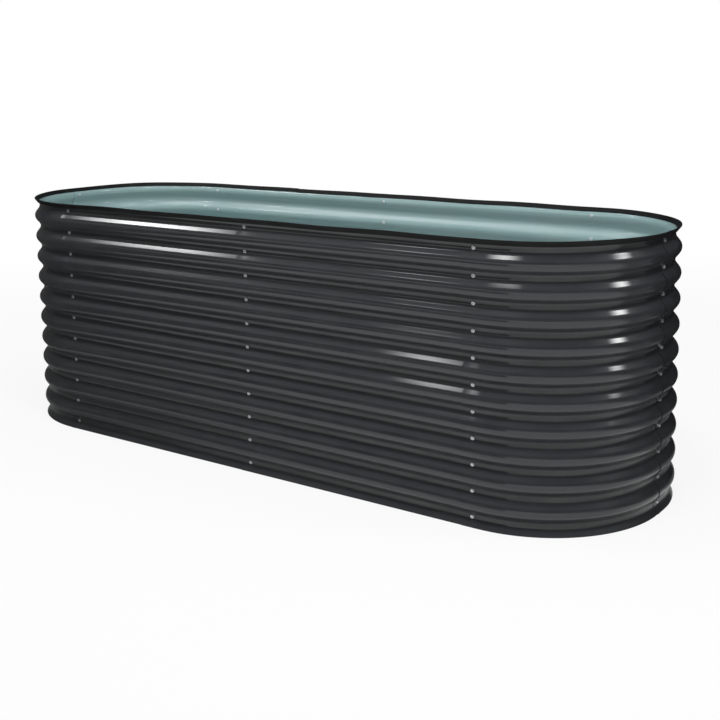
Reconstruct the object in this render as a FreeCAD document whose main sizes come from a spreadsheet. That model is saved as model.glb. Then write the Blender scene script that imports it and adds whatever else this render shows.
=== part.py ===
# Raised garden bed: an oval ring of eight corrugated steel panels, lapped and bolted
# into each other, with a rubber strip on the rim and two tie rods across the middle.
# Millimetres. +X runs along the long sides, -Y is the front, +Z is up, and the origin
# lies on the ground under the middle of the ring.

import FreeCAD, Part
import os
import re
import Sketcher

# Driving dimensions. The wall line is the middle of the sheet at half the wave's depth.
DIMENSIONS = {
    "wave_pitch": 75.0,  # crest to crest
    "wave_depth": 18.0,  # crest to valley
    "wave_flat": 15.0,  # height of the flat of each crest and each valley
    "gauge": 0.8,  # sheet thickness
    "bolt_rows": 11,  # one row in each valley
    "edge_below": 26.0,  # lowest bolt row above the panels' bottom edge
    "edge_above": 24.0,  # panels' top edge above the highest bolt row
    "seam_spacing": 800.0,  # from seam to seam along a long side
    "lap": 50.0,  # how far neighbouring panels overlap
    "lap_gap": 0.05,  # paint film and air between lapped sheets
    "corner_radius": 365.0,  # of the wall line
    "corner_folds": 5,  # a quarter turn is made in this many equal folds
    "neck": 6.0,  # square neck of an M6 bolt
    "neck_play": 0.3,  # between neck and hole, each side
    "head_across": 11.5,  # over the corners
    "head_height": 3.3,
    "nut_across": 11.5,  # over the corners
    "nut_height": 5.5,
    "seat_gap": 0.02,  # under head and nut
    "strip_wall": 2.0,
    "strip_roof": 3.0,
    "strip_grip": 14.0,  # how far the strip reaches down the sheet
    "strip_play": 0.15,
    "strip_joint": 1.0,  # gap where the strip's two ends meet, at the rear
    "lower_brace_row": 4,  # counted from the lowest bolt row
    "upper_brace_row": 8,
    "brace_rod": 8.0,
    "sleeve_across": 14.0,  # over the corners
    "sleeve_length": 30.0,
}

# Values that follow from the driving dimensions.
DERIVED = {
    "flank_angle": "atan(wave_depth / (wave_pitch / 2 - wave_flat))",
    "crease": "gauge / 2 * tan(flank_angle / 2)",  # a crease's step through half the sheet
    "lap_shift": "(gauge + lap_gap) / cos(flank_angle)",  # level step from sheet to sheet
    "half_wave": "wave_pitch / 2",
    "half_depth": "wave_depth / 2",
    "half_flat": "wave_flat / 2",
    "first_wave": "edge_below - wave_pitch",  # the waves start one too low, then are trimmed
    "sheet_top": "edge_below + wave_pitch * (bolt_rows - 1) + edge_above",
    "panel_length": "seam_spacing + lap",
    "panel_tilt": "atan(lap_shift / seam_spacing)",  # outside one neighbour, inside the other
    "bend_x": "seam_spacing + lap / 2",  # centre of a corner's bend
    "bend_y": "lap / 2",
    "wall_x": "bend_x + corner_radius",
    "wall_y": "bend_y + corner_radius",
    "fold": "90 / corner_folds",
    "fold_radius": "corner_radius / cos(fold / 2)",  # out to the creases between folds
    "hole": "neck + 2 * neck_play",
    "head_seat": "lap_shift / 2 + gauge / 2 + seat_gap - half_depth",  # out from the wall line
    "nut_seat": "lap_shift / 2 + gauge / 2 + seat_gap + half_depth",  # in from the wall line
    "slot_half": "gauge + lap_gap / 2 + strip_play",
    "slot_top": "(gauge + lap_gap / 2) * tan(flank_angle) + strip_play",
    "strip_half": "slot_half + strip_wall",
    "strip_top": "slot_top + strip_roof",
    "edge_out": "(edge_above - half_flat) * tan(flank_angle) - half_depth",
}

FACING = {"front": 0, "right_end": 90, "rear": 180, "left_end": 270}  # turn of each side

doc = FreeCAD.newDocument("raised_garden_bed")
sizes = doc.addObject("Spreadsheet::Sheet", "Sizes")
for line, (name, value) in enumerate({**DIMENSIONS, **DERIVED}.items(), start=1):
    sizes.set(f"A{line}", name)
    sizes.set(f"B{line}", f"={value}" if name in DERIVED else str(value))
    sizes.setAlias(f"B{line}", name)
doc.recompute()

parts = []


def linked(formula):
    """Point each size name in a formula at its cell."""
    known = DIMENSIONS.keys() | DERIVED.keys()
    return re.sub(r"[a-z_]+", lambda word: f"Sizes.{word[0]}" if word[0] in known else word[0], formula)


def bind(thing, **formulas):
    """Bind properties to formulas of size names. Two underscores stand for a dot."""
    for key, formula in formulas.items():
        thing.setExpression(key.replace("__", "."), linked(formula))


def origin(body, role):
    return next(feature for feature in body.Origin.OriginFeatures if feature.Role == role)


def new_body(label, x="0", y="0", turn="0"):
    body = doc.addObject("PartDesign::Body", label)
    body.AllowCompound = True
    bind(body, Placement__Base__x=x, Placement__Base__y=y, Placement__Rotation__Angle=turn)
    parts.append(body)
    return body


def new_sketch(body, name, role, offset="0"):
    sketch = body.newObject("Sketcher::SketchObject", name)
    sketch.AttachmentSupport = (origin(body, role), "")
    sketch.MapMode = "FlatFace"
    bind(sketch, AttachmentOffset__Base__z=offset)
    return sketch


def draw(sketch, points, closed=True):
    """Draw a line through points, each a pair of formulas, and bind every point."""
    corners = [tuple(linked(value) for value in point) for point in points]
    spots = [tuple(float(sketch.evalExpression(value)) for value in corner) for corner in corners]
    first = len(sketch.Geometry)
    ends = spots[1:] + spots[:1] if closed else spots[1:]
    for start, end in zip(spots, ends):
        line = Part.LineSegment(FreeCAD.Vector(*start, 0), FreeCAD.Vector(*end, 0))
        sketch.addGeometry(line, False)
    count = len(ends)
    for index in range(count if closed else count - 1):
        follower = first + (index + 1) % count
        sketch.addConstraint(Sketcher.Constraint("Coincident", first + index, 2, follower, 1))
    for index, (corner, spot) in enumerate(zip(corners, spots)):
        line, end = (first + index, 1) if index < count else (first + count - 1, 2)
        for kind, formula, value in zip(("DistanceX", "DistanceY"), corner, spot):
            number = sketch.addConstraint(Sketcher.Constraint(kind, -1, 1, line, end, value))
            sketch.setExpression(f"Constraints[{number}]", formula)


def rectangle(left, right, bottom, top):
    return [(left, bottom), (right, bottom), (right, top), (left, top)]


def hexagon(across, height):
    """Corners of a hexagon with its centre on the vertical axis."""
    turns = range(0, 360, 60)
    return [(f"{across} / 2 * cos({turn})", f"{height} + {across} / 2 * sin({turn})") for turn in turns]


def add(body, kind, name, profile, **formulas):
    feature = body.newObject(f"PartDesign::{kind}", name)
    feature.Profile = profile
    bind(feature, **formulas)
    return feature


def repeat(body, name, originals, length, count):
    """Repeat features upwards over a length."""
    pattern = body.newObject("PartDesign::LinearPattern", name)
    pattern.Originals = originals
    pattern.Direction = (origin(body, "Z_Axis"), [""])
    bind(pattern, Length=length, Occurrences=count)
    body.Tip = pattern
    return pattern


# Corrugated panels -------------------------------------------------------------------


def wave_section(wall):
    """One wave of sheet from crest to crest, as (y, z). The outside faces -Y."""
    low, high = "first_wave - half_wave", "first_wave + half_wave"
    outer = [
        ("half_depth + gauge / 2", low),
        ("half_depth + gauge / 2", f"{low} + half_flat + crease"),
        ("gauge / 2 - half_depth", "first_wave - half_flat + crease"),
        ("gauge / 2 - half_depth", "first_wave + half_flat - crease"),
        ("half_depth + gauge / 2", f"{high} - half_flat - crease"),
        ("half_depth + gauge / 2", high),
    ]
    inner = [
        ("half_depth - gauge / 2", high),
        ("half_depth - gauge / 2", f"{high} - half_flat + crease"),
        ("-half_depth - gauge / 2", "first_wave + half_flat + crease"),
        ("-half_depth - gauge / 2", "first_wave - half_flat - crease"),
        ("half_depth - gauge / 2", f"{low} + half_flat - crease"),
        ("half_depth - gauge / 2", low),
    ]
    return [(f"-({wall}) - ({out})", z) for out, z in outer + inner]


def finish_panel(body, sheet, hole_features, reach):
    """Stack the waves, trim them to the panel's height and punch the bolt holes."""
    repeat(body, "Waves", [sheet], "wave_pitch * (bolt_rows + 1)", "bolt_rows + 2")
    margins = new_sketch(body, "Margins", "XZ_Plane")
    draw(margins, rectangle(f"-({reach})", reach, "-2 * wave_pitch", "0"))
    draw(margins, rectangle(f"-({reach})", reach, "sheet_top", "sheet_top + 2 * wave_pitch"))
    trim = add(body, "Pocket", "Trim", margins)
    trim.Type = "ThroughAll"
    trim.SideType = "Symmetric"
    punches = []
    for number, (role, places) in enumerate(hole_features, start=1):
        square = new_sketch(body, f"HoleSketch{number}", role)
        for place in places:
            draw(square, rectangle(f"{place} - hole / 2", f"{place} + hole / 2",
                                   "edge_below - hole / 2", "edge_below + hole / 2"))
        punch = add(body, "Pocket", f"Holes{number}", square)
        punch.Type = "ThroughAll"
        punch.SideType = "Symmetric"
        punches.append(punch)
    repeat(body, "HoleRows", punches, "wave_pitch * (bolt_rows - 1)", "bolt_rows")


def straight_panel(side, half):
    """A flat panel from seam to seam, turned a little so that it laps like a roof tile."""
    x = "-seam_spacing / 2" if half == "left" else "seam_spacing / 2"
    y = "-wall_y" if side == "front" else "wall_y"
    body = new_body(f"{side}_{half}_panel", x, y, f"{FACING[side]} deg + panel_tilt")
    section = new_sketch(body, "Wave", "YZ_Plane")
    draw(section, wave_section("0"))
    sheet = add(body, "Pad", "Sheet", section, Length="panel_length")
    sheet.SideType = "Symmetric"
    seams = [("XZ_Plane", ["-seam_spacing / 2", "seam_spacing / 2"])]
    finish_panel(body, sheet, seams, "panel_length")


def bend_path():
    """Wall line of a corner: flange, folded quarter turn, flange, about the bend's centre."""
    path = [("-lap", "-corner_radius")]
    for number in range(int(DIMENSIONS["corner_folds"])):
        turn = f"(fold * {number + 0.5})"
        path.append((f"fold_radius * sin{turn}", f"-fold_radius * cos{turn}"))
    return path + [("corner_radius", "lap")]


def corner_panel(name, side, ends):
    """A quarter turn with a flat flange at each end. Its left lap goes outside."""
    x_side, y_side = ends
    shift = {"front": "--", "right_end": "+-", "rear": "++", "left_end": "-+"}[side]
    x = f"{x_side}bend_x {shift[0]} lap_shift / 2"
    y = f"{y_side}bend_y {shift[1]} lap_shift / 2"
    body = new_body(name, x, y, str(FACING[side]))
    path = new_sketch(body, "Bend", "XY_Plane")
    draw(path, bend_path(), closed=False)
    section = new_sketch(body, "Wave", "YZ_Plane", "-lap")
    draw(section, wave_section("corner_radius"))
    sheet = add(body, "AdditivePipe", "Sheet", section)
    sheet.Spine = (path, [f"Edge{number + 1}" for number in range(len(path.Geometry))])
    sheet.Transition = "Right corner"
    seams = [("XZ_Plane", ["(lap_shift - lap) / 2"]), ("YZ_Plane", ["(lap_shift + lap) / 2"])]
    finish_panel(body, sheet, seams, "corner_radius + lap")


for side in ("front", "rear"):
    for half in ("left", "right"):
        straight_panel(side, half)
corner_panel("front_right_corner", "front", ("", "-"))
corner_panel("rear_right_corner", "right_end", ("", ""))
corner_panel("rear_left_corner", "rear", ("-", ""))
corner_panel("front_left_corner", "left_end", ("-", "-"))


# Seam bolts and nuts -----------------------------------------------------------------

SEAMS = {  # name: side that it faces, x, y
    "front_left_seam": ("front", "-seam_spacing", "-wall_y"),
    "front_middle_seam": ("front", "0", "-wall_y"),
    "front_right_seam": ("front", "seam_spacing", "-wall_y"),
    "right_end_seam": ("right_end", "wall_x", "0"),
    "rear_right_seam": ("rear", "seam_spacing", "wall_y"),
    "rear_middle_seam": ("rear", "0", "wall_y"),
    "rear_left_seam": ("rear", "-seam_spacing", "wall_y"),
    "left_end_seam": ("left_end", "-wall_x", "0"),
}


def seam_bolts(name, side, x, y):
    """A row of bolts, head outside, square neck through both sheets."""
    body = new_body(f"{name}_bolts", x, y, str(FACING[side]))
    head_sketch = new_sketch(body, "HeadSketch", "XZ_Plane", "head_seat")
    draw(head_sketch, hexagon("head_across", "edge_below"))
    head = add(body, "Pad", "Head", head_sketch, Length="head_height")
    neck_sketch = new_sketch(body, "NeckSketch", "XZ_Plane", "head_seat")
    draw(neck_sketch, rectangle("-neck / 2", "neck / 2", "edge_below - neck / 2", "edge_below + neck / 2"))
    neck = add(body, "Pad", "Neck", neck_sketch, Length="head_seat + nut_seat")
    neck.Reversed = True
    repeat(body, "Rows", [head, neck], "wave_pitch * (bolt_rows - 1)", "bolt_rows")


def seam_nuts(name, side, x, y):
    """Closed nuts inside. Where a brace crosses, its sleeves take the nuts' place."""
    braces = ("lower_brace_row", "upper_brace_row") if "middle" in name else ()
    taken = [DIMENSIONS[brace] for brace in braces]
    nuts = []
    for row in range(1, int(DIMENSIONS["bolt_rows"]) + 1):
        if row in taken:
            continue
        nut = doc.addObject("Part::Prism", f"{name}_nut_{row}")
        nut.Polygon = 6
        nut.Placement.Rotation = FreeCAD.Rotation(FreeCAD.Vector(1, 0, 0), -90)
        bind(nut, Circumradius="nut_across / 2", Height="nut_height", Placement__Base__y="nut_seat",
             Placement__Base__z=f"edge_below + wave_pitch * {row - 1}")
        nuts.append(nut)
    group = doc.addObject("Part::Compound", f"{name}_nuts")
    group.Links = nuts
    bind(group, Placement__Base__x=x, Placement__Base__y=y, Placement__Rotation__Angle=str(FACING[side]))
    parts.append(group)


for name, (side, x, y) in SEAMS.items():
    seam_bolts(name, side, x, y)
for name, (side, x, y) in SEAMS.items():
    seam_nuts(name, side, x, y)


# Rim strip ---------------------------------------------------------------------------


def strip_section():
    """Channel that grips the panels' leaning top edge, as (y, z) at the rear wall."""
    frame = [  # across the sheet and along it, from the middle of its top edge
        ("-strip_half", "-strip_grip"),
        ("-strip_half", "strip_top"),
        ("strip_half", "strip_top"),
        ("strip_half", "-strip_grip"),
        ("slot_half", "-strip_grip"),
        ("slot_half", "slot_top"),
        ("-slot_half", "slot_top"),
        ("-slot_half", "-strip_grip"),
    ]
    lean = ("cos(flank_angle)", "sin(flank_angle)")
    return [
        (f"wall_y + edge_out + ({across}) * {lean[0]} + ({along}) * {lean[1]}",
         f"sheet_top + ({along}) * {lean[0]} - ({across}) * {lean[1]}")
        for across, along in frame
    ]


def rim_path():
    """Wall line of the whole ring, from one end of the strip round to the other."""
    joint = "-seam_spacing / 2"
    path = [(f"{joint} - strip_joint / 2", "wall_y")]
    for turn, x, y in ((180, "-bend_x", "bend_y"), (270, "-bend_x", "-bend_y"),
                       (0, "bend_x", "-bend_y"), (90, "bend_x", "bend_y")):
        for number in range(int(DIMENSIONS["corner_folds"])):
            angle = f"({turn} + fold * {number + 0.5})"
            path.append((f"{x} + fold_radius * sin{angle}", f"{y} - fold_radius * cos{angle}"))
    return path + [(f"{joint} + strip_joint / 2", "wall_y")]


strip = new_body("rim_strip")
rim = new_sketch(strip, "Rim", "XY_Plane")
draw(rim, rim_path(), closed=False)
channel = new_sketch(strip, "Channel", "YZ_Plane", "-seam_spacing / 2 - strip_joint / 2")
draw(channel, strip_section())
rubber = add(strip, "AdditivePipe", "Rubber", channel)
rubber.Spine = (rim, [f"Edge{number + 1}" for number in range(len(rim.Geometry))])
rubber.Transition = "Right corner"


# Brace rods --------------------------------------------------------------------------


def brace(label, row):
    """A rod across the bed with a threaded sleeve on each end, on two seam bolts."""
    body = new_body(label)
    height = f"edge_below + wave_pitch * ({row} - 1)"
    sleeve_sketch = new_sketch(body, "SleeveSketch", "XZ_Plane", "wall_y - nut_seat")
    draw(sleeve_sketch, hexagon("sleeve_across", height))
    sleeve = add(body, "Pad", "Sleeve", sleeve_sketch, Length="sleeve_length")
    sleeve.Reversed = True
    rod_sketch = new_sketch(body, "RodSketch", "XZ_Plane", "wall_y - nut_seat - sleeve_length")
    circle = Part.Circle(FreeCAD.Vector(0, 1, 0), FreeCAD.Vector(0, 0, 1), DIMENSIONS["brace_rod"] / 2)
    rod_sketch.addGeometry(circle, False)
    rod_sketch.addConstraint(Sketcher.Constraint("PointOnObject", 0, 3, -2))
    rise = rod_sketch.addConstraint(Sketcher.Constraint("DistanceY", -1, 1, 0, 3, 1.0))
    wide = rod_sketch.addConstraint(Sketcher.Constraint("Diameter", 0, DIMENSIONS["brace_rod"]))
    rod_sketch.setExpression(f"Constraints[{rise}]", linked(height))
    rod_sketch.setExpression(f"Constraints[{wide}]", linked("brace_rod"))
    rod = add(body, "Pad", "Rod", rod_sketch, Length="wall_y - nut_seat - sleeve_length")
    rod.Reversed = True
    other_half = body.newObject("PartDesign::Mirrored", "OtherHalf")
    other_half.Originals = [sleeve, rod]
    other_half.MirrorPlane = (origin(body, "XZ_Plane"), [""])
    body.Tip = other_half


brace("lower_brace_rod", "lower_brace_row")
brace("upper_brace_rod", "upper_brace_row")

doc.recompute()
for thing in doc.Objects:
    if {"Invalid", "Error"} & set(thing.State):
        raise RuntimeError(f"{thing.Label} did not build: {thing.State}")
for part in parts:
    if part.Shape.isNull() or not part.Shape.isValid() or not part.Shape.Solids:
        raise RuntimeError(f"{part.Label} has no valid solid")

os.makedirs("parts", exist_ok=True)
for part in parts:
    part.Shape.exportStep(f"parts/{part.Label}.step")
    print(f"{part.Label}: {len(part.Shape.Solids)} solid(s), {part.Shape.Volume / 1000:.1f} cm3")
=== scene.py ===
import math

import bpy
from mathutils import Matrix, Vector


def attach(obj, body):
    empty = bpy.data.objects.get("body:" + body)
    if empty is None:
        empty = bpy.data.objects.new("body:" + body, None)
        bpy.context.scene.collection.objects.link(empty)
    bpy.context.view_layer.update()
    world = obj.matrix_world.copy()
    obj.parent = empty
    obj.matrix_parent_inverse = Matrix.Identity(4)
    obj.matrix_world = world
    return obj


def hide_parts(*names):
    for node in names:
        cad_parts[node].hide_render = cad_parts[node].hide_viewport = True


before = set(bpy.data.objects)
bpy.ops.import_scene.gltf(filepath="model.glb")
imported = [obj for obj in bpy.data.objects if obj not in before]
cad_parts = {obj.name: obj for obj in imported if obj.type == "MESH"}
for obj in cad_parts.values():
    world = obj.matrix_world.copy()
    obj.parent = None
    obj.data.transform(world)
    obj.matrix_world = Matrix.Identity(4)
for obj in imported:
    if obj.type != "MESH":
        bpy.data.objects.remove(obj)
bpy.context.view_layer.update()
print("nodes loaded:", len(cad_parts))


class Wire:                                     # a socket that Python sums can be written with
    def __init__(self, tree, socket=None):
        self.tree, self.socket = tree, socket

    def node(self, kind, settings=None, sockets=None, out=0):
        made = self.tree.nodes.new(kind)
        for name, value in (settings or {}).items():
            if name == "stops":                 # a ramp's (place, colour) pairs
                while len(made.color_ramp.elements) < len(value):
                    made.color_ramp.elements.new(1.0)
                for element, (place, colour) in zip(made.color_ramp.elements, value):
                    element.position, element.color = place, (*colour, 1.0)
            else:
                setattr(made, name, value)
        for name, value in (sockets or {}).items():
            if isinstance(value, Wire):
                self.tree.links.new(value.socket, made.inputs[name])
            else:
                made.inputs[name].default_value = value
        return Wire(self.tree, made.outputs[out] if made.outputs else None)

    def maths(self, operation, first, second=0.0):
        return self.node("ShaderNodeMath", {"operation": operation}, {0: first, 1: second})

    def __add__(self, other):
        return self.maths("ADD", self, other)

    def __sub__(self, other):
        return self.maths("SUBTRACT", self, other)

    def __rsub__(self, other):
        return self.maths("SUBTRACT", other, self)

    def __mul__(self, other):
        return self.maths("MULTIPLY", self, other)

    __radd__, __rmul__ = __add__, __mul__

    def axis(self, name):                       # a vector's X, Y or Z
        return self.node("ShaderNodeSeparateXYZ", None, {"Vector": self}, out=name)

    def between(self, low, high, start=0.0, end=1.0):          # smooth step from start to end
        return self.node("ShaderNodeMapRange", {"interpolation_type": "SMOOTHSTEP"},
                         {"Value": self, "From Min": low, "From Max": high, "To Min": start, "To Max": end})

    def tinted(self, low, high):                # self picks between two colours
        return self.node("ShaderNodeMix", {"data_type": "RGBA"},
                         {0: self, 6: low if isinstance(low, Wire) else (*low, 1.0),
                          7: high if isinstance(high, Wire) else (*high, 1.0)}, out=2)


def newFinish(name):
    material = bpy.data.materials.new(name)
    material.use_nodes = True
    material.node_tree.nodes.clear()
    return material, Wire(material.node_tree)


def placeWire(start):                           # where a point is, in metres
    return start.node("ShaderNodeTexCoord", out="Object")


def stretched(start, place, scale):
    return start.node("ShaderNodeVectorMath", {"operation": "MULTIPLY"}, {0: place, 1: scale})


def cloud(start, vector, scale, detail=3.0, rough=0.5):
    return start.node("ShaderNodeTexNoise", None,
                      {"Vector": vector, "Scale": scale, "Detail": detail, "Roughness": rough})


def raised(start, height, distance, strength=0.5, under=None):
    sockets = {"Height": height, "Distance": distance, "Strength": strength}
    if under:
        sockets["Normal"] = under
    return start.node("ShaderNodeBump", None, sockets)


def surface(start, **sockets):
    named = {name.replace("_", " "): value for name, value in sockets.items()}
    shader = start.node("ShaderNodeBsdfPrincipled", None, named)
    start.node("ShaderNodeOutputMaterial", None, {"Surface": shader})


sheet = {"height": 0.800, "wallX": 1.19, "wallY": 0.39, "bend": 0.365,          # of the wave's middle line
         "pitch": 0.075, "depth": 0.018, "lean": math.radians(38.66), "gauge": 0.0008,
         "lowestValley": 0.026, "boltRows": 11, "seam": 0.8,    # seam to seam along a side
         "lapReach": 0.025, "lapShift": 0.001089,               # past the bolts, and the step of a lap
         "dimple": 0.0004, "dimpleSpread": 0.0085,              # the dish under each bolt head
         "edgeLift": 0.0009, "rightLift": 0.5,                  # how a lapped edge springs open
         "arcSteps": 3, "flankHold": 0.0006, "trim": 0.001,     # how the wave is divided
         "nearSeam": (0, 2, 5, 9, 13, 17, 21, 25, 29, 33, 37, 41, 46, 52),      # from a sheet's end, in mm
         "straightSpans": 8, "turnSpans": 30, "sharpAt": 35}


def valleyShare(start, place):                  # 1 along each valley, 0 at each crest
    turn = (place.axis("Z") - sheet["lowestValley"]) * (2 * math.pi / sheet["pitch"])
    return start.maths("COSINE", turn) * 0.5 + 0.5


charcoal = {"dark": (0.0181, 0.0197, 0.0223), "light": (0.0268, 0.0289, 0.0320), "toneMix": (0.6, 0.4),
            "toneEdge": (0.35, 0.65), "mottleScale": 7.0, "lineScale": (1.6, 1.6, 260.0),
            "lineDepth": 0.00004, "lineBump": 0.6, "peelScale": 620.0, "peelDepth": 0.00003,
            # painted shade: a darker colour laid along the valleys, and where it lies
            "valleyShade": (0.0080, 0.0085, 0.0095), "valleyShadeEdge": (0.80, 0.99), "valleyShadePatch": (0.25, 0.65, 0.55, 1.0),
            "speck": (0.06, 0.06, 0.06), "speckScale": 240.0, "speckEdge": (0.69, 0.75), "speckShare": 0.2,
            "rough": (0.3, 0.7, 0.34, 0.42), "lineRough": 0.05, "valleyRough": 0.14,
            "specular": 0.25, "coat": (0.25, 0.75, 0.95, 0.75), "coatRough": 0.07}

celadon = {"dark": (0.300, 0.445, 0.450), "light": (0.345, 0.490, 0.490), "toneMix": (0.5, 0.5),
           "toneEdge": (0.3, 0.7), "mottleScale": 5.0, "lineScale": (1.2, 1.2, 210.0),
           "lineDepth": 0.00004, "lineBump": 0.5, "peelScale": 560.0, "peelDepth": 0.00002,
           "film": (0.240, 0.360, 0.360), "filmTop": 0.22, "filmPatch": (0.3, 0.7, 0.2, 0.8),
           "filmRough": 0.2,
           # painted shade in the inner hollows
           "hollowShadeEdge": (0.75, 1.0), "hollowShadePatch": (0.35, 0.7), "hollowShadeShare": 0.3,
           "rough": (0.3, 0.7, 0.30, 0.36), "specular": 0.4, "coat": 1.0, "coatRough": 0.05}


def rolledPaint(start, place, paint):           # roller lines, a slow mottle and a fine sprayed skin
    lines = cloud(start, stretched(start, place, paint["lineScale"]), 1.0, 2.0)
    mottle = cloud(start, place, paint["mottleScale"], 4.0, 0.6)
    peel = cloud(start, place, paint["peelScale"], 2.0)
    mixed = mottle * paint["toneMix"][0] + lines * paint["toneMix"][1]
    tone = mixed.between(*paint["toneEdge"]).tinted(paint["dark"], paint["light"])
    under = raised(start, peel, paint["peelDepth"])
    return lines, mottle, tone, raised(start, lines, paint["lineDepth"], paint["lineBump"], under)


def charcoalPaint():
    material, start = newFinish("charcoalPaint")
    place = placeWire(start)
    lines, mottle, tone, skin = rolledPaint(start, place, charcoal)
    # painted shade: the paint is darker along each valley, in patches, where shade falls; these patches are
    # rougher too
    valleyShade = valleyShare(start, place).between(*charcoal["valleyShadeEdge"]) * mottle.between(*charcoal["valleyShadePatch"])
    speck = cloud(start, place, charcoal["speckScale"], 1.0).between(*charcoal["speckEdge"])
    colour = (speck * charcoal["speckShare"]).tinted(valleyShade.tinted(tone, charcoal["valleyShade"]), charcoal["speck"])
    rough = mottle.between(*charcoal["rough"]) + lines * charcoal["lineRough"] + valleyShade * charcoal["valleyRough"]
    surface(start, Base_Color=colour, Roughness=rough, Normal=skin, Specular_IOR_Level=charcoal["specular"],
            Coat_Weight=mottle.between(*charcoal["coat"]), Coat_Roughness=charcoal["coatRough"])
    return material


def celadonPaint():
    material, start = newFinish("celadonPaint")
    place = placeWire(start)
    lines, mottle, tone, skin = rolledPaint(start, place, celadon)
    # the inside paint is darker and rougher towards the bottom, in patches
    film = (1 - place.axis("Z").between(0.0, celadon["filmTop"])) * mottle.between(*celadon["filmPatch"])
    # painted shade: the inside paint is darker in each hollow behind an outer crest, in patches
    hollowShade = (1 - valleyShare(start, place)).between(*celadon["hollowShadeEdge"])
    hollowShade = hollowShade * mottle.between(*celadon["hollowShadePatch"]) * celadon["hollowShadeShare"]
    surface(start, Base_Color=(film + hollowShade).tinted(tone, celadon["film"]),
            Roughness=mottle.between(*celadon["rough"]) + film * celadon["filmRough"], Normal=skin,
            Specular_IOR_Level=celadon["specular"], Coat_Weight=celadon["coat"],
            Coat_Roughness=celadon["coatRough"])
    return material


zinc = {"brightZinc": {"dull": (0.50, 0.52, 0.54), "bright": (0.76, 0.78, 0.80), "rough": 0.30,
                       "metal": 1.0},
        # painted light and reflection: the nuts' zinc is paler than the bolts' and tinted teal, for the
        # light on the nuts and the teal walls they mirror
        "litTealZinc": {"dull": (0.60, 0.66, 0.68), "bright": (0.80, 0.87, 0.89), "rough": 0.40, "metal": 0.5},
        "galvanisedRod": {"dull": (0.40, 0.41, 0.42), "bright": (0.62, 0.63, 0.64), "rough": 0.38,
                          "metal": 1.0},
        "flakeScale": 420.0, "grainScale": 1500.0, "grainDepth": 0.00004, "toneMix": (0.7, 0.3),
        "stain": (0.42, 0.41, 0.38), "stainScale": 90.0, "stainEdge": (0.55, 0.75), "stainShare": 0.35,
        "flakeRough": 0.10, "stainRough": 0.15}


def zincCoat(name):
    material, start = newFinish(name)
    place, coat = placeWire(start), zinc[name]
    cells = start.node("ShaderNodeTexVoronoi", None,
                       {"Vector": place, "Scale": zinc["flakeScale"]}, out="Color")
    flake = start.node("ShaderNodeSeparateColor", None, {"Color": cells}, out="Red")
    grain = cloud(start, place, zinc["grainScale"], 2.0)
    stain = cloud(start, place, zinc["stainScale"]).between(*zinc["stainEdge"])
    tone = (flake * zinc["toneMix"][0] + grain * zinc["toneMix"][1]).tinted(coat["dull"], coat["bright"])
    colour = (stain * zinc["stainShare"]).tinted(tone, zinc["stain"])
    surface(start, Base_Color=colour, Metallic=coat["metal"],
            Roughness=flake * zinc["flakeRough"] + stain * zinc["stainRough"] + coat["rough"],
            Normal=raised(start, grain, zinc["grainDepth"]))
    return material


rubber = {"clean": (0.006, 0.0062, 0.0065), "bloomed": (0.018, 0.0185, 0.019), "bloomShare": 0.55,
          "bloomScale": 16.0, "bloomEdge": (0.45, 0.75), "grainScale": 900.0, "grainDepth": 0.00004,
          "lineScale": (3.0, 3.0, 700.0), "lineDepth": 0.00006,
          "rough": 0.42, "bloomRough": 0.12, "lineRough": 0.08, "specular": 0.2}


def rimRubber():
    material, start = newFinish("rimRubber")
    place = placeWire(start)
    grain = cloud(start, place, rubber["grainScale"], 3.0, 0.6)
    lines = cloud(start, stretched(start, place, rubber["lineScale"]), 1.0, 2.0)        # left by the die
    bloom = cloud(start, place, rubber["bloomScale"], 4.0, 0.65).between(*rubber["bloomEdge"])
    under = raised(start, grain, rubber["grainDepth"])
    surface(start, Base_Color=(bloom * rubber["bloomShare"]).tinted(rubber["clean"], rubber["bloomed"]),
            Roughness=bloom * rubber["bloomRough"] + lines * rubber["lineRough"] + rubber["rough"],
            Normal=raised(start, lines, rubber["lineDepth"], under=under),
            Specular_IOR_Level=rubber["specular"])
    return material


finishes = {"outside": charcoalPaint(), "inside": celadonPaint(), "bolts": zincCoat("brightZinc"),
            # the nuts take the paler, teal-tinted zinc, with painted light and reflection
            "nuts": zincCoat("litTealZinc"), "rod": zincCoat("galvanisedRod"), "rubber": rimRubber()}
print("finishes:", ", ".join(finishes))


def newPiece(name, points, faces, materials, sharpAt, picks=None):
    mesh = bpy.data.meshes.new(name)
    mesh.from_pydata(points, [], faces)
    for material in materials:
        mesh.materials.append(material)
    if picks:
        mesh.polygons.foreach_set("material_index", picks)
    mesh.shade_smooth()
    mesh.set_sharp_from_angle(angle=math.radians(sharpAt))
    piece = bpy.data.objects.new(name, mesh)
    bpy.context.scene.collection.objects.link(piece)
    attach(piece, "root")
    return piece


slope = math.tan(sheet["lean"])
bendRadius = ((slope * sheet["pitch"] / 2 - sheet["depth"])                     # of each crest and valley
              / (2 * (slope * math.sin(sheet["lean"]) - 1 + math.cos(sheet["lean"]))))
arcReach = bendRadius * math.sin(sheet["lean"])
boltHeights = [sheet["lowestValley"] + sheet["pitch"] * row for row in range(sheet["boltRows"])]


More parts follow.
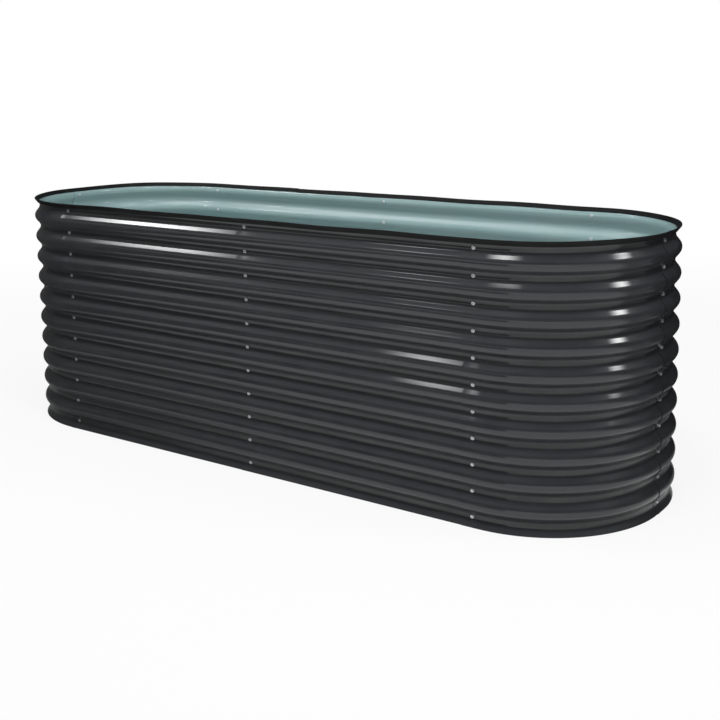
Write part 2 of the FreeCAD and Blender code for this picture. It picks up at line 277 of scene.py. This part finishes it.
def wave(z):                                    # how far out the sheet's middle stands, and its slope
    along = (z - sheet["lowestValley"] + sheet["pitch"] / 2) % sheet["pitch"] - sheet["pitch"] / 2
    reach, crest = abs(along), sheet["pitch"] / 2 - abs(along)
    if reach <= arcReach:
        root = math.sqrt(bendRadius ** 2 - reach ** 2)
        out, lean = -sheet["depth"] / 2 + bendRadius - root, reach / root
    elif crest <= arcReach:
        root = math.sqrt(bendRadius ** 2 - crest ** 2)
        out, lean = sheet["depth"] / 2 - bendRadius + root, crest / root
    else:
        out, lean = (reach - sheet["pitch"] / 4) * slope, slope
    return out, math.copysign(lean, along)


def waveHeights():                              # where the rows of points lie
    steps = [arcReach * share / sheet["arcSteps"] for share in range(sheet["arcSteps"] + 1)]
    steps.append(arcReach + sheet["flankHold"])
    steps += [sheet["pitch"] / 2 - step for step in steps]
    heights = {0.0, sheet["height"]}
    for valley in range(-1, sheet["boltRows"] + 1):
        for step in steps:
            for side in (-1, 1):
                z = sheet["lowestValley"] + sheet["pitch"] * valley + side * step
                if sheet["trim"] < z < sheet["height"] - sheet["trim"]:
                    heights.add(round(z, 6))
    return sorted(heights)


def sheetSteps(length, spans):                  # places along a sheet, closest near its two bolt lines
    near = [mm / 1000 for mm in sheet["nearSeam"]]
    middle = [near[-1] + (length - 2 * near[-1]) * share / spans for share in range(1, spans)]
    return near + middle + [length - step for step in reversed(near)]


def straightPath(middle, outward):              # left end to right end as seen from outside
    across = Vector((-outward.y, outward.x, 0))
    length = sheet["seam"] + 2 * sheet["lapReach"]
    path = []
    for step in sheetSteps(length, sheet["straightSpans"]):
        share = (step - sheet["lapReach"]) / sheet["seam"]
        shift = outward * (sheet["lapShift"] / 2 * (1 - 2 * share))
        path.append((middle + across * (step - length / 2) + shift, outward, step, length - step))
    return path


def cornerPath(centre, outward):                # a quarter turn between two flanges
    across = Vector((-outward.y, outward.x, 0))
    flange, turn = 2 * sheet["lapReach"], sheet["bend"] * math.pi / 2
    length = 2 * flange + turn
    shift = (outward - across) * (sheet["lapShift"] / 2)
    path = []
    for step in sheetSteps(length, sheet["turnSpans"]):
        angle = min(max((step - flange) / turn, 0), 1) * math.pi / 2
        facing = outward * math.cos(angle) + across * math.sin(angle)
        heading = across * math.cos(angle) - outward * math.sin(angle)
        spare = min(step - flange, 0) + max(step - flange - turn, 0)
        path.append((centre + facing * sheet["bend"] + heading * spare + shift, facing, step, length - step))
    return path


def pressedIn(z, fromLine):                     # the dish that a bolt pulls into the sheet
    nearest = min(abs(z - height) for height in boltHeights)
    spread = sheet["dimpleSpread"]
    return -sheet["dimple"] * math.exp(-(nearest ** 2 + fromLine ** 2) / (2 * spread ** 2))


def corrugatedSheet(name, path):
    heights, lap = waveHeights(), sheet["lapReach"]
    rows, columns = len(heights), len(path)
    points, faces, picks = [], [], []           # picks: 0 is the outside paint, 1 the inside paint
    for side in (1, -1):
        for place, outward, fromLeft, fromRight in path:
            toLine = min(abs(fromLeft - lap), abs(fromRight - lap))
            springing = (max(0, 1 - fromLeft / lap) ** 2
                         - sheet["rightLift"] * max(0, 1 - fromRight / lap) ** 2)
            for row, z in enumerate(heights):
                out, lean = wave(z)
                thick = side * sheet["gauge"] / 2
                if row in (0, rows - 1):        # the cut edges stay level
                    out, up = out + thick * math.hypot(1, lean), z
                else:
                    out, up = out + thick / math.hypot(1, lean), z - thick * lean / math.hypot(1, lean)
                crest = 0.5 - 0.5 * math.cos(2 * math.pi * (z - sheet["lowestValley"]) / sheet["pitch"])
                out += pressedIn(z, toLine) + sheet["edgeLift"] * springing * crest
                points.append((place.x + outward.x * out, place.y + outward.y * out, up))

    def at(side, column, row):
        return side * rows * columns + column * rows + row

    for column in range(columns - 1):
        for row in range(rows - 1):
            quad = (at(0, column, row), at(0, column + 1, row),
                    at(0, column + 1, row + 1), at(0, column, row + 1))
            faces += [quad, tuple(corner + rows * columns for corner in reversed(quad))]
            picks += [0, 1]
        for row, flip in ((0, True), (rows - 1, False)):
            edge = (at(0, column, row), at(0, column + 1, row), at(1, column + 1, row), at(1, column, row))
            faces.append(edge[::-1] if flip else edge)
            picks.append(0)
    for row in range(rows - 1):
        for column, flip in ((0, False), (columns - 1, True)):
            edge = (at(0, column, row), at(0, column, row + 1), at(1, column, row + 1), at(1, column, row))
            faces.append(edge[::-1] if flip else edge)
            picks.append(0)
    paints = [finishes["outside"], finishes["inside"]]
    piece = newPiece(name, points, faces, paints, sheet["sharpAt"], picks)
    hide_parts(name.replace("Sheet", "_panel").replace("Corner", "_corner"))


front, right = Vector((0, -1, 0)), Vector((1, 0, 0))
middleX, wall = sheet["seam"] / 2, sheet["wallY"]
bendX, bendY = sheet["wallX"] - sheet["bend"], sheet["wallY"] - sheet["bend"]
corrugatedSheet("front_leftSheet", straightPath(Vector((-middleX, -wall, 0)), front))
corrugatedSheet("front_rightSheet", straightPath(Vector((middleX, -wall, 0)), front))
corrugatedSheet("rear_leftSheet", straightPath(Vector((-middleX, wall, 0)), -front))
corrugatedSheet("rear_rightSheet", straightPath(Vector((middleX, wall, 0)), -front))
corrugatedSheet("front_rightCorner", cornerPath(Vector((bendX, -bendY, 0)), front))
corrugatedSheet("rear_rightCorner", cornerPath(Vector((bendX, bendY, 0)), right))
corrugatedSheet("rear_leftCorner", cornerPath(Vector((-bendX, bendY, 0)), -front))
corrugatedSheet("front_leftCorner", cornerPath(Vector((-bendX, -bendY, 0)), -right))
print("sheets: four straight and four turned, lapped at eight seams")


# outlines run from the seat outwards: round or six-sided, radius (to the flats) and height in mm
fastener = {"bolts": [("round", 4.9, 0.0), ("round", 5.7, 0.1), ("round", 5.7, 0.6), ("round", 5.0, 0.95),
                      ("hex", 4.5, 1.0), ("hex", 4.5, 2.7), ("round", 4.4, 3.05), ("round", 3.7, 3.25),
                      ("round", 3.0, 3.25), ("round", 2.4, 3.0)],
            "nuts": [("round", 5.2, 0.0), ("round", 6.4, 0.1), ("round", 6.4, 0.9), ("hex", 5.2, 1.0),
                     ("hex", 5.2, 3.1), ("round", 5.0, 3.4), ("round", 4.6, 3.9), ("round", 3.9, 4.7),
                     ("round", 2.6, 5.25), ("round", 1.0, 5.48)],
            "inset": {"bolts": 0.008036, "nuts": 0.009964},     # of the seats, from the wall's middle line
            "turnPerRow": 0.7, "turnPerLetter": 1.9,            # each one stops at its own angle
            "braceRows": (3, 7), "sides": 24, "sharpAt": 28}

seams = {"front_left": (-sheet["seam"], front), "front_middle": (0, front),
         "front_right": (sheet["seam"], front), "right_end": (0, right),
         "rear_right": (sheet["seam"], -front), "rear_middle": (0, -front),
         "rear_left": (-sheet["seam"], -front), "left_end": (0, -right)}


def seamSpot(seam):                             # where a seam's bolt line meets the floor
    x, outward = seams[seam]
    return Vector((x, 0, 0)) + outward * (sheet["wallX"] if outward.x else sheet["wallY"])


def ring(kind, radius, sides):                  # one level of an outline
    spots = []
    for step in range(sides):
        angle = 2 * math.pi * step / sides
        reach = radius / math.cos(angle % (math.pi / 3) - math.pi / 6) if kind == "hex" else radius
        spots.append((reach * math.cos(angle), reach * math.sin(angle)))
    return spots


def turnedPart(points, faces, base, axis, sideways, outline, sides, closedStart=False):
    upward = axis.cross(sideways)
    first = len(points)
    for kind, radius, along in outline:
        for a, b in ring(kind, radius, sides):
            points.append(base + (axis * along + sideways * a + upward * b) / 1000)
    for level in range(len(outline) - 1):
        for step in range(sides):
            a, b = first + level * sides + step, first + level * sides + (step + 1) % sides
            faces.append((a, b, b + sides, a + sides))
    last = first + (len(outline) - 1) * sides
    faces.append(tuple(last + step for step in range(sides)))
    if closedStart:
        faces.append(tuple(first + step for step in reversed(range(sides))))


def fasten(seam):
    line, outward = seamSpot(seam), seams[seam][1]
    across = Vector((-outward.y, outward.x, 0))
    for kind, axis in (("bolts", outward), ("nuts", -outward)):
        points, faces = [], []
        for row, z in enumerate(boltHeights):
            if kind == "nuts" and "middle" in seam and row in fastener["braceRows"]:
                continue                        # a brace rod ends there
            angle = fastener["turnPerRow"] * row + fastener["turnPerLetter"] * len(seam)
            sideways = Matrix.Rotation(angle, 3, axis) @ across
            spot = line - outward * fastener["inset"][kind] + Vector((0, 0, z))
            turnedPart(points, faces, spot, axis, sideways, fastener[kind], fastener["sides"])
        name, finish = seam + "_" + kind, [finishes[kind]]
        piece = newPiece(name, points, faces, finish, fastener["sharpAt"])
        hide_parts(f"{seam}_seam_{kind}")


for seam in seams:
    fasten(seam)
print("fasteners: eight rows of bolts and nuts")


# the profile is in mm, the rest in metres
strip = {"halfWidth": 2.95, "grip": 14.0, "crown": 3.7, "crownRound": 0.8, "crownSteps": 8, "shoulder": 0.3,
         "foot": ((-0.7, 0.0), (-0.15, 0.25), (0.0, 1.0), (-0.35, 2.4)), "waist": (-0.1, -2.2),
         "slot": ((-0.75, 0.1), (-0.6, 1.2), (0.6, 1.2), (0.75, 0.1)),
         "bump": 0.0006, "bumpReach": 0.026,                    # where it goes over a lap
         "sway": 0.0006, "swayOut": 0.3, "swayWaves": (11.0, 17.3), "swayLag": 1.0,     # pushed on by hand
         "jointAt": -0.4, "joint": 0.0005, "turnSteps": 30, "longestStep": 0.05, "sharpAt": 50,
         "halfSide": (0.0, 0.015, 0.024, 0.03, 0.04, 0.1, 0.3, 0.5, 0.7,
                      0.76, 0.77, 0.776, 0.785, 0.8, 0.815),
         "beforeJoint": (-0.015, -0.024, -0.03, -0.04, -0.1, -0.2, -0.3),
         "afterJoint": (-0.45, -0.6, -0.7, -0.76, -0.77, -0.776, -0.785, -0.8, -0.815)}


def stripOutline():                             # outward and along the leaning sheet, from its top edge
    wide, low, shoulder = strip["halfWidth"], -strip["grip"], strip["shoulder"]
    leg = [(wide + out, low + up) for out, up in strip["foot"]]
    leg.append((wide + strip["waist"][0], strip["waist"][1]))
    crown = [(wide, -shoulder)]
    for step in range(1, strip["crownSteps"]):
        angle = math.pi * step / strip["crownSteps"]
        rise = (strip["crown"] + shoulder) * math.sin(angle) ** strip["crownRound"]
        crown.append((wide * math.cos(angle), rise - shoulder))
    crown.append((-wide, -shoulder))
    slot = [(out, low + up) for out, up in strip["slot"]]
    return leg + crown + [(-out, up) for out, up in reversed(leg)] + slot


def rimTurn(centre, outward):                   # a quarter turn of the rim
    across = Vector((-outward.y, outward.x, 0))
    path = []
    for step in range(strip["turnSteps"] + 1):
        angle = math.pi / 2 * step / strip["turnSteps"]
        facing = outward * math.cos(angle) + across * math.sin(angle)
        path.append((centre + facing * sheet["bend"], facing))
    return path


def rimPath():                                  # once round, starting and ending at the joint
    fromMiddle, joint, gap = strip["halfSide"], strip["jointAt"], strip["joint"]
    toMiddle = fromMiddle[::-1]
    path = [(Vector((x, wall, 0)), -front) for x in (joint - gap, *strip["afterJoint"])]
    path += rimTurn(Vector((-bendX, bendY, 0)), -front)
    path.append((Vector((-sheet["wallX"], 0, 0)), -right))
    path += rimTurn(Vector((-bendX, -bendY, 0)), -right)
    path += [(Vector((x, -wall, 0)), front) for x in (*(-x for x in toMiddle[:-1]), *fromMiddle)]
    path += rimTurn(Vector((bendX, -bendY, 0)), front)
    path.append((Vector((sheet["wallX"], 0, 0)), right))
    path += rimTurn(Vector((bendX, bendY, 0)), right)
    path += [(Vector((x, wall, 0)), -front) for x in (*toMiddle, *strip["beforeJoint"], joint + gap)]
    return path


def closer(path):                               # points near enough to each other for the strip to sway
    fine = [path[0]]
    for (start, facing), (end, facingNext) in zip(path, path[1:]):
        count = max(1, round((end - start).length / strip["longestStep"]))
        for step in range(1, count + 1):
            fine.append((start.lerp(end, step / count), facing.lerp(facingNext, step / count)))
    return fine


def rimStrip():
    outline, path = stripOutline(), closer(rimPath())
    top, lean = wave(sheet["height"])
    tilt = math.atan(lean)
    laps = [seamSpot(seam) for seam in seams]
    waves, lag = strip["swayWaves"], strip["swayLag"]
    points, faces, travelled, before = [], [], 0.0, path[0][0]
    for place, outward in path:
        travelled, before = travelled + (place - before).length, place
        sway = strip["sway"] * (math.sin(waves[0] * travelled) + math.sin(waves[1] * travelled + lag))
        away = min((place - lap).length for lap in laps)
        swell = 1 + strip["bump"] * 1000 / strip["halfWidth"] * (1 - min(1, away / strip["bumpReach"]) ** 4)
        for across, along in outline:
            across *= swell
            out = top + (across * math.cos(tilt) + along * math.sin(tilt)) / 1000 + strip["swayOut"] * sway
            up = sheet["height"] + (along * math.cos(tilt) - across * math.sin(tilt)) / 1000 + sway
            points.append(place + outward * out + Vector((0, 0, up)))
    count = len(outline)
    for column in range(len(path) - 1):
        for step in range(count):
            a, b = column * count + step, column * count + (step + 1) % count
            faces.append((a, a + count, b + count, b))
    faces.append(tuple(range(count)))
    faces.append(tuple(reversed(range((len(path) - 1) * count, len(path) * count))))
    piece = newPiece("rimStrip", points, faces, [finishes["rubber"]], strip["sharpAt"])
    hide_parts("rim_strip")


rimStrip()
print("rim strip: fitted, joint at the rear")


# in mm: reach is from the middle of the bed, and the rest from each end of the rod
brace = {"reach": 380.0, "radius": 4.0, "sleeve": 30.0, "sleeveFlats": 6.06, "sleeveEnd": 5.2,
         "chamfer": 0.6, "step": 0.05, "threads": 14, "threadPitch": 1.5, "threadDepth": 0.35,
         "threadFrom": 0.3, "threadCrest": 0.25, "threadRoot": 0.9, "threadTo": 0.6,
         "sides": 24, "sharpAt": 28}


def braceOutline():                             # one end to the other, along the rod
    rod, sleeve, chamfer, pitch = brace["radius"], brace["sleeve"], brace["chamfer"], brace["threadPitch"]
    end = [("round", brace["sleeveEnd"], 0.0), ("hex", brace["sleeveFlats"], chamfer),
           ("hex", brace["sleeveFlats"], sleeve - chamfer), ("round", brace["sleeveEnd"], sleeve),
           ("round", rod, sleeve + brace["step"])]
    for turn in range(brace["threads"]):
        start = sleeve + brace["threadFrom"] + turn * pitch
        end.append(("round", rod, start + brace["threadCrest"]))
        end.append(("round", rod - brace["threadDepth"], start + brace["threadRoot"]))
    end.append(("round", rod, sleeve + brace["threadTo"] + brace["threads"] * pitch))
    return end + [(kind, radius, 2 * brace["reach"] - along) for kind, radius, along in reversed(end)]


for name, row in zip(("lower", "upper"), fastener["braceRows"]):
    points, faces = [], []
    base = Vector((0, -brace["reach"] / 1000, boltHeights[row]))
    turnedPart(points, faces, base, -front, right, braceOutline(), brace["sides"], closedStart=True)
    piece = newPiece(name + "Brace", points, faces, [finishes["rod"]], brace["sharpAt"])
    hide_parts(name + "_brace_rod")
print("braces: two rods across the middle")


stage = {"floorSize": 60.0, "floorColour": (0.86, 0.86, 0.86), "glowFrom": 1.6, "glowTo": 5.0,
         "nearGlow": 0.85, "mirrorGlow": 0.36,                  # near the bed, to the eye and to gloss
         "mirrorShade": 0.85, "shadeColour": (0.03, 0.03, 0.03),        # two soft dark places, to gloss
         "shadeLeft": (-0.8, 0.7), "shadeFront": (-0.85, -0.5),
         "shadeRight": (1.1, 1.6), "shadeRear": (0.0, 0.3),
         "backdropTop": 0.29, "backdropFade": 0.06, "backdropAim": (0.174, -0.985, 0.0),
         "backdropEdge": (-0.1, 0.9), "cool": (0.93, 1.0, 1.10),
         "sky": ((0.0, 0.05), (0.35, 0.05), (0.55, 0.12), (0.75, 0.24), (1.0, 0.30)),   # height, brightness
         "fillFront": 0.74, "fillRear": 0.36, "lampFade": 0.5}


def ray(start, kind):                           # 1 for one kind of ray, such as the camera's own
    return start.node("ShaderNodeLightPath", out=f"Is {kind} Ray")


def paleFloor():
    half = stage["floorSize"] / 2
    mesh = bpy.data.meshes.new("floor")
    corners = [(-half, -half, 0), (half, -half, 0), (half, half, 0), (-half, half, 0)]
    mesh.from_pydata(corners, [], [(0, 1, 2, 3)])
    floor = bpy.data.objects.new("floor", mesh)
    bpy.context.scene.collection.objects.link(floor)
    material, start = newFinish("paleFloor")
    place = placeWire(start)
    x, y = place.axis("X"), place.axis("Y")
    distance = start.node("ShaderNodeVectorMath", {"operation": "LENGTH"}, {0: place}, out="Value")
    frontLeft = (1 - x.between(*stage["shadeLeft"])) * y.between(*stage["shadeFront"])
    rearRight = (x + y).between(*stage["shadeRight"]) * y.between(*stage["shadeRear"])
    mirror = ray(start, "Glossy")
    shade = mirror * (frontLeft + rearRight) * stage["mirrorShade"]             # the studio is darker there
    seen = ray(start, "Camera") + ray(start, "Transmission")
    near, far = stage["glowFrom"], stage["glowTo"]
    glow = (seen * distance.between(near, far, stage["nearGlow"], 1.0)
            + mirror * distance.between(near, far, stage["mirrorGlow"], 1.0) * (1 - shade))
    lit = start.node("ShaderNodeBsdfDiffuse", None,
                     {"Color": shade.tinted(stage["floorColour"], stage["shadeColour"])})
    white = start.node("ShaderNodeEmission", None, {"Color": (1, 1, 1, 1), "Strength": 1.0})
    mixed = start.node("ShaderNodeMixShader", None, {0: glow, 1: lit, 2: white})
    start.node("ShaderNodeOutputMaterial", None, {"Surface": mixed})
    mesh.materials.append(material)


def softSky():                                  # white to the eye, to gloss a dim room with a backdrop
    world = bpy.data.worlds.new("softSky")
    world.use_nodes = True
    world.node_tree.nodes.clear()
    start = Wire(world.node_tree)
    direction = start.node("ShaderNodeTexCoord", out="Generated")
    height = direction.axis("Z")
    stops = [(place, [level * share for share in stage["cool"]]) for place, level in stage["sky"]]
    room = start.node("ShaderNodeValToRGB", {"stops": stops}, {0: height})
    facing = start.node("ShaderNodeVectorMath", {"operation": "DOT_PRODUCT"},
                        {0: direction, 1: stage["backdropAim"]}, out="Value")
    top, fade = stage["backdropTop"], stage["backdropFade"]
    backdrop = facing.between(*stage["backdropEdge"]) * (1 - height.between(top - fade, top + fade))
    white = ray(start, "Camera") + ray(start, "Transmission") + ray(start, "Glossy") * backdrop
    fill = facing.between(-1.0, 1.0, stage["fillRear"], stage["fillFront"])
    colour = white.tinted(ray(start, "Diffuse").tinted(room, fill), (1.0, 1.0, 1.0))
    sky = start.node("ShaderNodeBackground", None, {"Color": colour, "Strength": 1.0})
    start.node("ShaderNodeOutputWorld", None, {"Surface": sky})
    bpy.context.scene.world = world


# in metres; a lamp that isn't mirrored lights the bed but doesn't show in its gloss
lamps = {"leftSoftbox": {"at": (-2.41, -1.20, 2.6), "size": (1.58, 0.32), "radiance": 25.0},
         "frontSoftbox": {"at": (-0.79, -1.66, 2.6), "size": (0.70, 0.36), "radiance": 12.0},
         "cornerSoftbox": {"at": (0.42, -1.23, 2.6), "size": (1.10, 0.30), "radiance": 18.0},
         "rightSoftbox": {"at": (2.90, 0.76, 2.6), "size": (1.15, 1.05), "radiance": 21.0},
         "ceilingSoftbox": {"at": (-1.80, -0.80, 3.4), "size": (4.6, 1.5), "radiance": 3.0},
         "overheadSoftbox": {"at": (0.05, -0.10, 3.4), "size": (3.0, 1.8), "radiance": 2.4},
         "innerSoftbox": {"at": (1.30, -1.05, 3.0), "size": (1.6, 1.0), "radiance": 22.0,
                          "mirrored": False}}


def softbox(name, spec):                        # an area lamp that fades towards its edges
    data = bpy.data.lights.new(name, "AREA")
    data.shape, (data.size, data.size_y) = "RECTANGLE", spec["size"]
    data.energy = spec["radiance"] * math.pi * spec["size"][0] * spec["size"][1]
    data.use_nodes = True
    data.node_tree.nodes.clear()
    start = Wire(data.node_tree)
    spot = start.node("ShaderNodeNewGeometry", out="Parametric")
    along, up = spot.axis("X"), spot.axis("Y")
    fade = math.prod(edge.between(0.0, stage["lampFade"]) for edge in (along, 1 - along, up, 1 - up))
    light = start.node("ShaderNodeEmission", None, {"Color": (1, 1, 1, 1), "Strength": fade})
    start.node("ShaderNodeOutputLight", None, {"Surface": light})
    lamp = bpy.data.objects.new(name, data)
    lamp.location = spec["at"]
    lamp.visible_glossy = spec.get("mirrored", True)
    bpy.context.scene.collection.objects.link(lamp)


# each card: where it starts and ends on the floor, and how bright its paint is
cards = {"height": 0.85,
         "walls": {"darkCard0": ((-1.9, 2.6), (-1.9, 0.5), 0.14),
                   "darkCard1": ((-1.9, 0.5), (-0.47, -2.4), 0.14),
                   "darkCard2": ((-0.47, -2.4), (0.85, -2.4), 0.05),
                   "darkCard5": ((0.6, 0.95), (2.3, 0.95), 0.02)}}


def darkCard(name, left, right, grey):          # as dark as a studio's walls, and only gloss shows it
    top = cards["height"]
    mesh = bpy.data.meshes.new(name)
    mesh.from_pydata([(*left, 0), (*right, 0), (*right, top), (*left, top)], [], [(0, 1, 2, 3)])
    card = bpy.data.objects.new(name, mesh)
    bpy.context.scene.collection.objects.link(card)
    material, start = newFinish(name)
    matt = start.node("ShaderNodeBsdfDiffuse", None, {"Color": (grey, grey, grey, 1.0)})
    start.node("ShaderNodeOutputMaterial", None, {"Surface": matt})
    mesh.materials.append(material)
    card.visible_camera = card.visible_diffuse = card.visible_shadow = card.visible_transmission = False


paleFloor()
softSky()
for name, wallSpec in cards["walls"].items():
    darkCard(name, *wallSpec)
for name, spec in lamps.items():
    softbox(name, spec)


camera = {"at": (2.2669, -2.9738, 1.2412), "lens": 56.631, "shift": -100 / 720, "sees": 100,
          "turn": -0.6161, "dip": 0.1654, "roll": -0.0124}      # in radians


def placeCamera():
    turn, dip, roll = camera["turn"], camera["dip"], camera["roll"]
    ahead = Vector((math.sin(turn) * math.cos(dip), math.cos(turn) * math.cos(dip), -math.sin(dip)))
    side = Vector((math.cos(turn), -math.sin(turn), 0))
    above = side.cross(ahead)
    level = Matrix((side * math.cos(roll) + above * math.sin(roll),
                    above * math.cos(roll) - side * math.sin(roll), -ahead))
    data = bpy.data.cameras.new("camera")
    data.lens, data.shift_y, data.clip_end = camera["lens"], camera["shift"], camera["sees"]
    holder = bpy.data.objects.new("camera", data)
    holder.matrix_world = Matrix.Translation(camera["at"]) @ level.transposed().to_4x4()
    bpy.context.scene.collection.objects.link(holder)
    bpy.context.scene.camera = holder


placeCamera()
bpy.context.scene.view_settings.view_transform = "Standard"
print("studio: floor, sky,", len(lamps), "softboxes and the camera")
